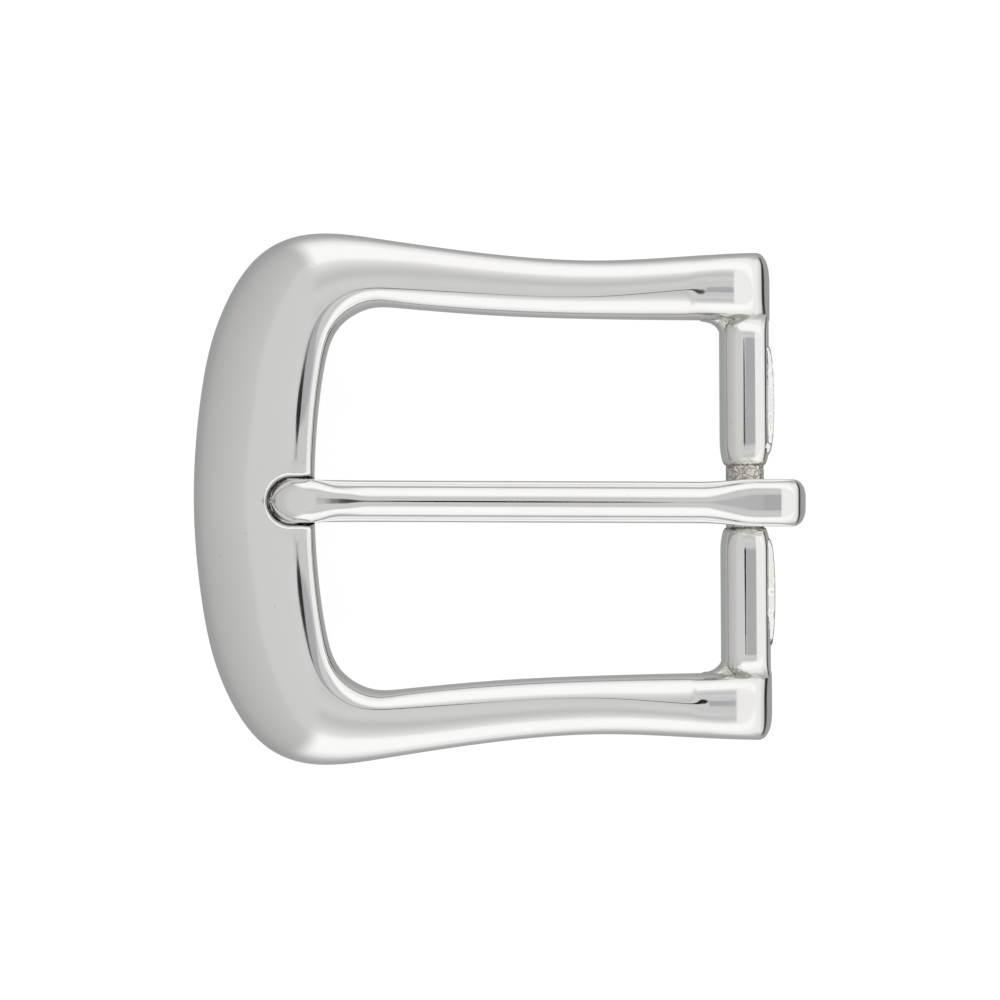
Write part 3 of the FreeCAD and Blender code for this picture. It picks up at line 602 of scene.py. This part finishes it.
def makeProng():
    rows = []
    tip = prong["tip"]
    plain, eyeAdds, tipAdds = prong["squareness"]
    crownLoss, ledgeLoss, creaseLoss = prong["eyeLoss"]
    for x, z, turn in prongPath():
        onShank = turn == 0.0
        onEnd = 0 < turn <= math.pi
        share = smooth(x, *prong["blend"])
        broad = smooth(-x, -tip - prong["broadRun"], -tip) if onShank else 0.0
        flat = smooth(-x, -prong["flatFrom"], prong["flatRun"] - prong["flatFrom"]) if onShank else 0.0
        bare = smooth(-x, -prong["ledgeFrom"], prong["flatRun"] - prong["ledgeFrom"]) if onShank else 0.0
        end = math.sin(turn) ** 2 * prong["endFlat"] if onEnd else 0.0
        half = prong["halfWidth"] + (prong["tipHalf"] - prong["halfWidth"]) * broad
        half += (prong["eyeHalf"] - prong["halfWidth"]) * share
        power = plain + eyeAdds * share + tipAdds * flat
        crown = prong["crown"] * (1 - crownLoss * share) * (1 - end)
        ledge = prong["ledge"] * (1 - ledgeLoss * share) * (1 - prong["tipLoss"] * bare) * (1 - end)
        crease = prong["crease"] * (1 - creaseLoss * share) * (1 - bare) * (1 - end)
        thick = prong["thickness"]
        fall = 0.0
        if onShank and x < tip + prong["tipLength"]:
            s = (tip + prong["tipLength"] - x) / prong["tipLength"]
            closing = max(0.0, 1 - s ** prong["tipPower"]) ** (1 / prong["tipPower"])
            half *= closing * (1 - prong["tipEnd"]) + prong["tipEnd"]
            ledge = min(ledge, half * prong["tipLedge"])
            crown = crown * (prong["tipCrown"] + (1 - prong["tipCrown"]) * closing)
        if onShank and x < tip + prong["droopLength"]:
            s = (tip + prong["droopLength"] - x) / prong["droopLength"]
            fall = prong["droop"] * s ** prong["droopPower"]
        if onEnd:
            # the eye's end is rounded in plan
            corner = prong["eyeCorner"]
            over = x + thick / 2 * math.sin(turn) - (prong["eyeSlack"] + prong["top"] - corner)
            over = min(max(over, 0.0), corner)
            half -= corner - math.sqrt(corner ** 2 - over ** 2)
        thick -= fall
        outX = math.sin(turn)
        outZ = math.cos(turn)
        ring = prongSection(half, crown, power, ledge, crease, thick)
        rows.append([(x + outX * (w - fall / 2), y, z + outZ * (w - fall / 2)) for y, w in ring])
    rows = np.array(rows)
    angle = math.radians(prong["skew"])
    x = rows[:, :, 0] * math.cos(angle) - rows[:, :, 1] * math.sin(angle)
    y = rows[:, :, 0] * math.sin(angle) + rows[:, :, 1] * math.cos(angle) + prong["offset"]
    piece = gridPiece("prongTongue", np.stack([x, y, rows[:, :, 2]], 2), True)
    print("prong:", len(piece.data.polygons), "faces")
    return piece


# Cast fillets in the two inner corners, where the bar runs into the arms
fillet = {
    "corner": (-1.0, 18.1),
    "barEnd": (-2.35, 15.9),
    "bend": (-2.5, 17.45),
    "armEnd": (-4.4, 17.6),
    "height": 1.45,
    "lean": 86,  # degrees from level at the top and the bottom ring
    "least": 0.35,  # how much of its spread is left at the top
    "fullness": 0.55,
    "roughness": 0.05,
    "grain": 1.9,
    "levels": 40,
    "faces": 36,
}


def makeFillet(side):
    barEnd, bend, armEnd = (Vector(fillet[name]) for name in ("barEnd", "bend", "armEnd"))
    corner = Vector(fillet["corner"])
    rows = []
    for level in range(fillet["levels"] + 1):
        lean = math.radians(fillet["lean"] * (2 * level / fillet["levels"] - 1))
        spread = fillet["least"] + (1 - fillet["least"]) * math.cos(lean) ** fillet["fullness"]
        z = fillet["height"] * math.sin(lean)
        ring = []
        for step in range(fillet["faces"] + 1):
            t = step / fillet["faces"]
            place = (1 - t) ** 2 * barEnd + 2 * t * (1 - t) * bend + t * t * armEnd
            x, y = corner + (place - corner) * spread
            bump = noise.fractal(Vector((x, side * y, z)) * fillet["grain"], 1.0, 2.1, 4)
            bump = bump * fillet["roughness"]
            ring.append((x + bump, side * (y - bump), z))
        ring.append((corner.x, side * corner.y, z))
        rows.append(ring)
    name = "cornerFilletUpper" if side > 0 else "cornerFilletLower"
    return gridPiece(name, np.array(rows), True)


# Bright nickel plate: nearly a mirror, with polishing waves, fine lines and a few pits
plate = {
    "colour": (0.655, 0.652, 0.645),
    "warmColour": (0.65, 0.642, 0.625),
    "roughLow": 0.05,
    "roughHigh": 0.13,
    "blotchScale": 160.0,
    "blotchRough": (0.3, 0.75),
    "blotchTint": (0.35, 0.8),
    "waveScale": 420.0,
    "waveDepth": 0.0000026,
    "pitColour": (0.42, 0.40, 0.37),
    "pitStain": 0.4,
    "pitScale": 520.0,
    "pitSize": (0.03, 0.08),
    "pitDepth": 0.000006,
    "pitsWithin": (0.50, 0.56),  # pits only show where a slow noise passes this
    "withinScale": 240.0,
    "lineScale": 2600.0,
    "lineStretch": (0.12, 1.0, 1.0),
    "lineDepth": 0.0000001,
}

# Cast skin that was plated but never polished: facets with dark joints between them
castSkin = {
    "pale": (0.70, 0.655, 0.585),
    "grey": (0.52, 0.50, 0.47),
    "brown": (0.17, 0.14, 0.11),
    "stain": 0.8,
    "rough": 0.14,
    "strayScale": 900.0,
    "bend": 0.0006,
    "crackleScale": 1250.0,
    "crackleLine": 0.09,
    "crackleWall": 0.2,
    "crackleDepth": 0.000032,
    "gritScale": 2400.0,
    "gritDark": (0.5, 0.72),
    "gritDepth": 0.0001,
}

# Where the cast skin lies, in mm: it fades in from the first value to the second
castZones = {
    "pastNeck": (0.6, 0.05),
    "barEndY": (16.2, 17.6),
    "barEndX": (0.0, -1.8),
    "cornerY": (18.3, 17.7),
    "cornerX": (-6.5, -3.5),
    "cornerZ": (2.4, 1.2),
    "filletZ": (1.6, 0.4),
    "filletShare": (0.25, 0.3),
}


def newMaterial(name):
    material = bpy.data.materials.new(name)
    material.use_nodes = True
    material.node_tree.nodes.clear()
    return material, material.node_tree


def mixColour(tree, factor, a, b):
    made = node(tree, "ShaderNodeMix", {"Factor": factor}, data_type="RGBA")
    for key, value in ((6, a), (7, b)):
        if isinstance(value, bpy.types.NodeSocket):
            tree.links.new(value, made.inputs[key])
        else:
            made.inputs[key].default_value = (*value, 1.0)
    return made.outputs[2]


def bumped(tree, height, distance, strength, onto=None):
    made = node(tree, "ShaderNodeBump", {"Height": height, "Distance": distance, "Strength": strength})
    if onto is not None:
        tree.links.new(onto, made.inputs["Normal"])
    return made.outputs[0]


def noiseNode(tree, place, scale, detail=2.0, roughness=0.5):
    return node(tree, "ShaderNodeTexNoise",
                {"Vector": place, "Scale": scale, "Detail": detail, "Roughness": roughness}).outputs


def voronoiNode(tree, place, scale, feature="F1"):
    return node(tree, "ShaderNodeTexVoronoi", {"Vector": place, "Scale": scale}, feature=feature).outputs


def nickelPlate(name, castZone):
    # castZone(tree, at) gives the share of unpolished cast skin, or None
    material, tree = newMaterial(name)
    place = node(tree, "ShaderNodeTexCoord").outputs["Object"]
    wave = noiseNode(tree, place, plate["waveScale"])[0]
    blotch = noiseNode(tree, place, plate["blotchScale"], 4.0)[0]
    cells = voronoiNode(tree, place, plate["pitScale"])["Distance"]
    within = noiseNode(tree, place, plate["withinScale"], 0.0)[0]
    pit = math1(tree, "MULTIPLY", ramp(tree, cells, *plate["pitSize"], 1.0, 0.0),
                ramp(tree, within, *plate["pitsWithin"]))
    drawnOut = node(tree, "ShaderNodeMapping", {"Vector": place, "Scale": plate["lineStretch"]}).outputs[0]
    lines = noiseNode(tree, drawnOut, plate["lineScale"], 3.0)[0]
    rough = ramp(tree, blotch, *plate["blotchRough"], plate["roughLow"], plate["roughHigh"])
    warm = ramp(tree, blotch, *plate["blotchTint"])
    colour = mixColour(tree, warm, plate["colour"], plate["warmColour"])
    colour = mixColour(tree, math1(tree, "MULTIPLY", pit, plate["pitStain"]), colour, plate["pitColour"])
    bump = bumped(tree, wave, plate["waveDepth"], 0.5)
    bump = bumped(tree, lines, plate["lineDepth"], 0.4, bump)
    bump = bumped(tree, math1(tree, "SUBTRACT", 1.0, pit), plate["pitDepth"], 0.6, bump)
    if castZone:
        cast = castZone(tree, node(tree, "ShaderNodeSeparateXYZ", {0: place}).outputs)
        rough, colour, bump = castOver(tree, place, cast, rough, colour, bump)
    shader = node(tree, "ShaderNodeBsdfPrincipled", {"Base Color": colour, "Metallic": 1.0,
                                                     "Roughness": rough, "Normal": bump})
    tree.links.new(shader.outputs[0], node(tree, "ShaderNodeOutputMaterial").inputs[0])
    return material


def castOver(tree, place, cast, rough, colour, bump):
    # facets, the cracks between them and grit, laid over the plate where cast is not 0
    stray = noiseNode(tree, place, castSkin["strayScale"])["Color"]
    bent = node(tree, "ShaderNodeVectorMath", {0: stray, 1: (castSkin["bend"],) * 3, 2: place},
                operation="MULTIPLY_ADD").outputs[0]
    crackle = voronoiNode(tree, bent, castSkin["crackleScale"], "DISTANCE_TO_EDGE")["Distance"]
    facets = voronoiNode(tree, bent, castSkin["crackleScale"])["Color"]
    facet = node(tree, "ShaderNodeSeparateColor", {0: facets}).outputs[0]
    grit = noiseNode(tree, place, castSkin["gritScale"], 5.0, 0.65)[0]
    rough = math1(tree, "MULTIPLY_ADD", cast, castSkin["rough"], rough)
    stain = mixColour(tree, facet, castSkin["pale"], castSkin["grey"])
    stain = mixColour(tree, ramp(tree, grit, *castSkin["gritDark"]), stain, castSkin["brown"])
    crack = ramp(tree, crackle, 0.0, castSkin["crackleLine"], 1.0, 0.0)
    stain = mixColour(tree, crack, stain, castSkin["brown"])
    colour = mixColour(tree, math1(tree, "MULTIPLY", cast, castSkin["stain"]), colour, stain)
    wall = ramp(tree, crackle, 0.0, castSkin["crackleWall"])
    tilt = math1(tree, "MULTIPLY", cast, math1(tree, "ADD", wall, facet))
    bump = bumped(tree, tilt, castSkin["crackleDepth"], 0.9, bump)
    bump = bumped(tree, math1(tree, "MULTIPLY", cast, grit), castSkin["gritDepth"], 0.9, bump)
    return rough, colour, bump


def fade(tree, value, zone, offset=0.0):
    start, end = castZones[zone]
    return ramp(tree, value, (offset + start) * mm, (offset + end) * mm)


def neckZone(tree, at):
    span = math1(tree, "ABSOLUTE", at["Y"])
    neck = fade(tree, span, "pastNeck", bar["neckHalf"])
    ends = math1(tree, "MULTIPLY", fade(tree, span, "barEndY"), fade(tree, at["X"], "barEndX"))
    return math1(tree, "MAXIMUM", neck, ends)


def cornerZone(tree, at):
    inside = fade(tree, math1(tree, "ABSOLUTE", at["Y"]), "cornerY")
    near = fade(tree, at["X"], "cornerX")
    return math1(tree, "MULTIPLY", math1(tree, "MULTIPLY", inside, near), fade(tree, at["Z"], "cornerZ"))


def filletZone(tree, at):
    least, more = castZones["filletShare"]
    return math1(tree, "MULTIPLY_ADD", fade(tree, at["Z"], "filletZ"), more, least)


# Studio: a light tent, with soft boxes along both arms and past the bar, a grey wall at
# the bow's end and a slit in its roof for the lens. Angles are degrees from straight up.
studio = {
    "floorDrop": 6.2,  # room under the frame for the prong's end, swung right round
    "floorReach": 8.0,
    "floorGlow": (0.88, 0.18),  # glow and matt white
    "roomRadius": 7.8,
    "roof": 0.92,
    "roofEdge": (2.0, 5.0),
    # brightness at each angle: the wall at the bow's end, both long sides, and past the bar
    "wall": [(0, 0.97), (12, 0.93), (42, 0.91), (47, 0.82), (60, 0.77), (78, 0.70), (90, 0.65),
             (105, 0.56), (130, 0.5), (180, 0.5)],
    "side": [(0, 0.93), (9, 0.86), (12, 0.90), (14.5, 0.94), (17, 0.91), (20.5, 0.79), (23, 0.82),
             (27, 0.94), (29.5, 1.04), (32.5, 1.14), (36, 1.40), (42, 1.46), (62, 1.44), (76, 1.25),
             (90, 0.95), (104, 0.70), (125, 0.55), (180, 0.45)],
    "far": [(0, 0.72), (46, 0.72), (50, 1.28), (96, 1.28), (106, 0.95), (108.6, 0.6), (109.3, 0.04),
            (117, 0.04), (118, 0.48), (180, 0.5)],
    "brightest": 2.0,
    # angles round the compass from past the bar, where one of them gives way to the next
    "sideFrom": (20.0, 40.0),
    "wallFrom": (112.0, 128.0),
    "horizon": (84.0, 92.0),
    "coolFrom": (95.0, 125.0),
    "coolTurn": (106.0, 118.0),
    "tint": (1.0, 1.0, 0.995),
    "coolTint": (0.94, 1.0, 0.98),
    "slit": 0.60,
    "slitTint": (0.99, 0.985, 1.03),
    "slitFrom": (2.0, 4.0),
    "slitTo": (46.0, 50.0),
    "slitHalf": (3.6, 4.6),
    "lensRadius": 34,
    "lensAbove": 6,
    "cameraHeight": 417.7,
    "cameraAt": (-24.55, -0.2),
    "cameraRoll": -0.37,
    "focal": 150,
}


def curve(tree, value, points):
    # a value read off a line through the points, at degrees from straight up
    made = node(tree, "ShaderNodeFloatCurve", {"Value": math1(tree, "DIVIDE", value, 180.0)})
    line = made.mapping.curves[0]
    top = studio["brightest"]
    while len(line.points) < len(points):
        line.points.new(0.5, 0.5)
    for point, (angle, light) in zip(line.points, points):
        point.location = (angle / 180, light / top)
        point.handle_type = "VECTOR"
    made.mapping.update()
    return math1(tree, "MULTIPLY", made.outputs[0], top)


def blend(tree, factor, a, b):
    return node(tree, "ShaderNodeMix", {"Factor": factor, 2: a, 3: b}).outputs[0]


def makeWorld():
    world = bpy.data.worlds.new("lightTent")
    bpy.context.scene.world = world
    world.use_nodes = True
    tree = world.node_tree
    tree.nodes.clear()
    way = node(tree, "ShaderNodeTexCoord").outputs["Generated"]
    parts = node(tree, "ShaderNodeSeparateXYZ", {0: way}).outputs
    across = math1(tree, "ABSOLUTE", parts["Y"])
    degrees = 180 / math.pi
    leanX = math1(tree, "MULTIPLY", math1(tree, "ARCTAN2", parts["X"], parts["Z"]), degrees)
    leanY = math1(tree, "MULTIPLY", math1(tree, "ARCTAN2", across, parts["Z"]), degrees)
    turn = math1(tree, "MULTIPLY", math1(tree, "ARCTAN2", across, parts["X"]), degrees)
    away = math1(tree, "MULTIPLY", math1(tree, "ARCCOSINE", parts["Z"]), degrees)
    side = curve(tree, leanY, studio["side"])
    far = curve(tree, math1(tree, "MAXIMUM", leanX, 0.0), studio["far"])
    wall = curve(tree, away, studio["wall"])
    # below the horizon each side keeps its own floor, above it the brighter one wins
    upper = math1(tree, "MAXIMUM", side, far)
    lower = blend(tree, ramp(tree, turn, *studio["sideFrom"]), far, side)
    light = blend(tree, ramp(tree, away, *studio["horizon"]), upper, lower)
    light = blend(tree, ramp(tree, turn, *studio["wallFrom"]), light, wall)
    light = blend(tree, ramp(tree, away, *studio["roofEdge"]), studio["roof"], light)
    slit = math1(tree, "MULTIPLY", ramp(tree, leanX, *studio["slitFrom"]),
                 ramp(tree, leanX, *studio["slitTo"], 1.0, 0.0))
    slit = math1(tree, "MULTIPLY", slit, ramp(tree, leanY, *studio["slitHalf"], 1.0, 0.0))
    light = blend(tree, slit, light, studio["slit"])
    cool = math1(tree, "MULTIPLY", ramp(tree, away, *studio["coolFrom"]),
                 ramp(tree, turn, *studio["coolTurn"]))
    tint = mixColour(tree, slit, studio["tint"], studio["slitTint"])
    tint = mixColour(tree, cool, tint, studio["coolTint"])
    glow = node(tree, "ShaderNodeBackground", {"Color": tint, "Strength": light})
    tree.links.new(glow.outputs[0], node(tree, "ShaderNodeOutputWorld").inputs[0])


def plainGlow(name, colour, strength, diffuse):
    material, tree = newMaterial(name)
    glow = node(tree, "ShaderNodeEmission", {"Color": (*colour, 1), "Strength": strength})
    matt = node(tree, "ShaderNodeBsdfDiffuse", {"Color": (diffuse, diffuse, diffuse, 1)})
    both = node(tree, "ShaderNodeAddShader")
    tree.links.new(glow.outputs[0], both.inputs[0])
    tree.links.new(matt.outputs[0], both.inputs[1])
    tree.links.new(both.outputs[0], node(tree, "ShaderNodeOutputMaterial").inputs[0])
    return material


def staged(name, mesh, glow, unseenBy):
    # a thing of the studio, hidden from the kinds of ray that are named
    thing = bpy.data.objects.new(name, mesh)
    bpy.context.collection.objects.link(thing)
    mesh.materials.append(glow)
    for ray in unseenBy:
        setattr(thing, "visible_" + ray, False)


def makeStudio():
    makeWorld()
    low = float(cadBox[0][2]) - studio["floorDrop"] * mm
    mesh = bpy.data.meshes.new("paleFloor")
    reach = studio["floorReach"]
    corners = [(-reach, -reach, low), (reach, -reach, low), (reach, reach, low), (-reach, reach, low)]
    mesh.from_pydata(corners, [], [(0, 1, 2, 3)])
    glow = plainGlow("paleFloor", (1, 1, 1), *studio["floorGlow"])
    staged("paleFloor", mesh, glow, ("glossy", "diffuse"))

    # a pale room round the camera, so the tent shows only on the metal
    bm = bmesh.new()
    bmesh.ops.create_icosphere(bm, subdivisions=5, radius=studio["roomRadius"])
    mesh = bpy.data.meshes.new("paleRoom")
    bm.to_mesh(mesh)
    bm.free()
    glow = plainGlow("paleRoom", (0.97, 0.97, 0.97), 1.0, 0.01)
    staged("paleRoom", mesh, glow, ("glossy", "diffuse", "transmission", "shadow"))

    # the dark round of the lens, which the crests pick up as a thin line
    bm = bmesh.new()
    bmesh.ops.create_circle(bm, cap_ends=True, segments=64, radius=studio["lensRadius"] * mm)
    mesh = bpy.data.meshes.new("lensShade")
    for vert in bm.verts:
        vert.co += Vector((*studio["cameraAt"], studio["cameraHeight"] + studio["lensAbove"])) * mm
    bm.to_mesh(mesh)
    bm.free()
    glow = plainGlow("lensShade", (0.02, 0.02, 0.02), 1.0, 0.01)
    staged("lensShade", mesh, glow, ("camera", "shadow", "diffuse"))

    data = bpy.data.cameras.new("camera")
    data.lens = studio["focal"]
    data.sensor_width = 36
    data.clip_start = 0.01
    data.clip_end = 50
    camera = bpy.data.objects.new("camera", data)
    camera.location = Vector((*studio["cameraAt"], studio["cameraHeight"])) * mm
    camera.rotation_euler = (0, 0, math.radians(studio["cameraRoll"]))
    bpy.context.collection.objects.link(camera)
    bpy.context.scene.camera = camera
    bpy.context.scene.view_settings.view_transform = "Standard"


def coat(piece, material):
    piece.data.materials.clear()
    piece.data.materials.append(material)


polished = nickelPlate("nickelPolished", cornerZone)
barPlate = nickelPlate("nickelOnBar", neckZone)
filletPlate = nickelPlate("nickelOnFillets", filletZone)
prongPlate = nickelPlate("nickelOnProng", None)

bowAndArms = makeRail()
coat(bowAndArms, polished)
strapBar = fromTree("strapBar", barTree(), {"Material": barPlate})
fillets = [makeFillet(1), makeFillet(-1)]
for piece in fillets:
    coat(piece, filletPlate)
prongTongue = makeProng()
coat(prongTongue, prongPlate)
print("strap bar:", len(strapBar.data.polygons), "faces")

for piece in [bowAndArms, strapBar] + fillets:
    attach(piece, "frame")
    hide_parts("frame")
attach(prongTongue, "prong")
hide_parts("prong")

makeStudio()
print("studio ready")
